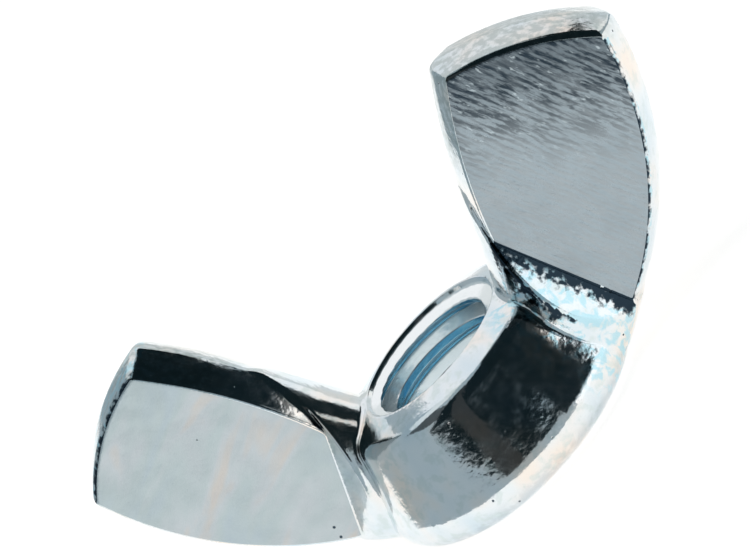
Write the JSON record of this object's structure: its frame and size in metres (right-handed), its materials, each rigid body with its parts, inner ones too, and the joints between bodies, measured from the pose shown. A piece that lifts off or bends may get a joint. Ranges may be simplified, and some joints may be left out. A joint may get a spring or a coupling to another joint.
{
  "type": "wing nut",
  "caption": "Wing nut with a conical barrel, a through thread and two flat square-ended wings spread in a V.",
  "frame": {"origin": "centre of the bearing face", "axes": "+Z along the thread axis towards the wings, X along the wings, Y through their thickness"},
  "size_m": [0.0268, 0.0116, 0.0126],
  "materials": {
    "zinc_plate": "bright zinc plate with a faint blue passivation, satin on the pressed flats and glossy on the barrel"
  },
  "bodies": {
    "root": {"hub": "zinc_plate", "wing_left": "zinc_plate", "wing_right": "zinc_plate"}
  },
  "joints": []
}
